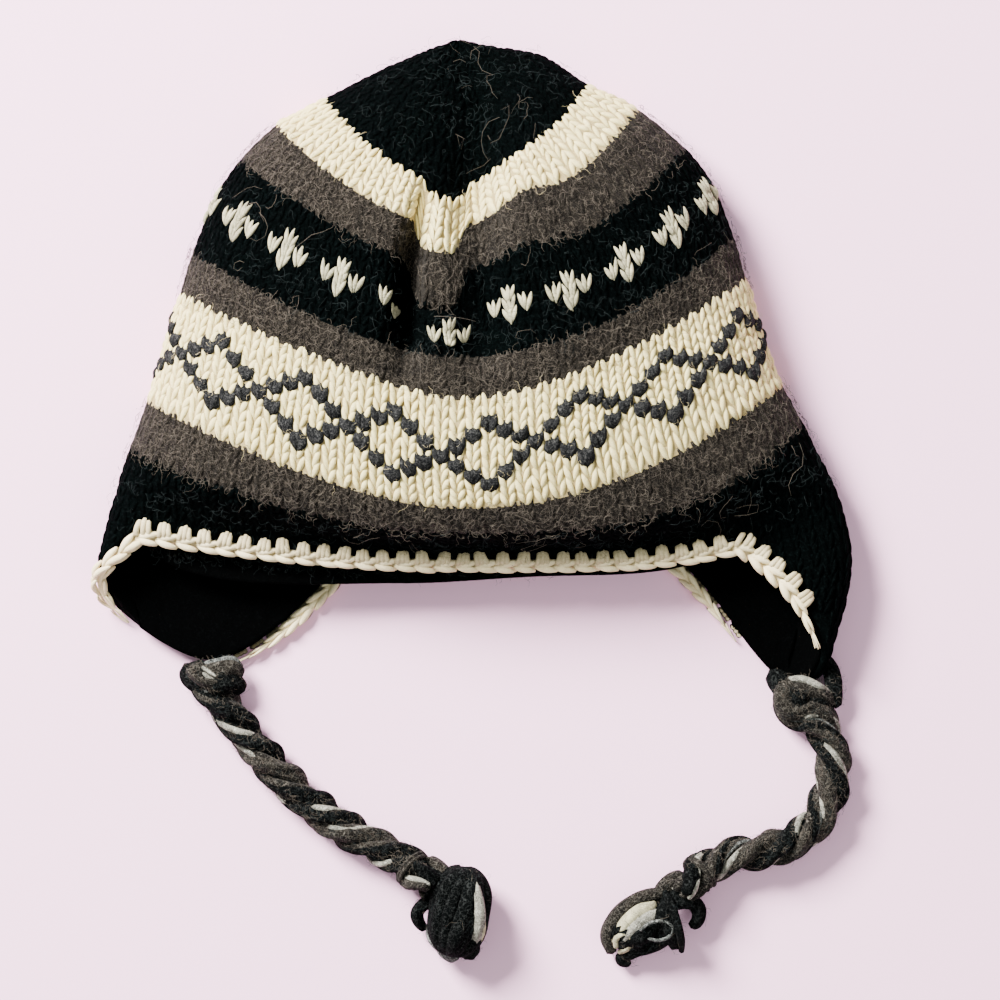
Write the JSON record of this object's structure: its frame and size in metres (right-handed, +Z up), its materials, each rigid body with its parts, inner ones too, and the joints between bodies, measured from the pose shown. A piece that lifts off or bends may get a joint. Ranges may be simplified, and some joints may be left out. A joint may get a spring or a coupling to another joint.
{
  "type": "chullo hat",
  "caption": "Knitted pull-on hat with ear flaps, a fleece lining, crocheted edging and a braided tie with a knotted end on each flap, lying on its back.",
  "frame": {"origin": "middle of the hat's outline as it lies, without its ties, on the surface under it", "axes": "+X across the hat toward the right-hand flap in the picture, +Y from the rim to the crown's top, +Z up from the surface"},
  "size_m": [0.3026, 0.3662, 0.054],
  "materials": {
    "knit_wool": "knitted wool, black with bands of brown and cream",
    "fleece": "short black fleece",
    "edging_wool": "crocheted cream wool",
    "tie_wool": "braided black, brown and cream wool",
    "knot_wool": "knotted wool, mostly black",
    "binding_yarn": "thin black wool yarn"
  },
  "bodies": {
    "root": {"knit_body": "knit_wool", "fleece_lining": "fleece", "edging_front": "edging_wool", "edging_back": "edging_wool", "tie_left": "tie_wool", "tie_right": "tie_wool", "end_knot_left": "knot_wool", "end_knot_right": "knot_wool", "knot_binding_left": "binding_yarn", "knot_binding_right": "binding_yarn"}
  },
  "joints": []
}
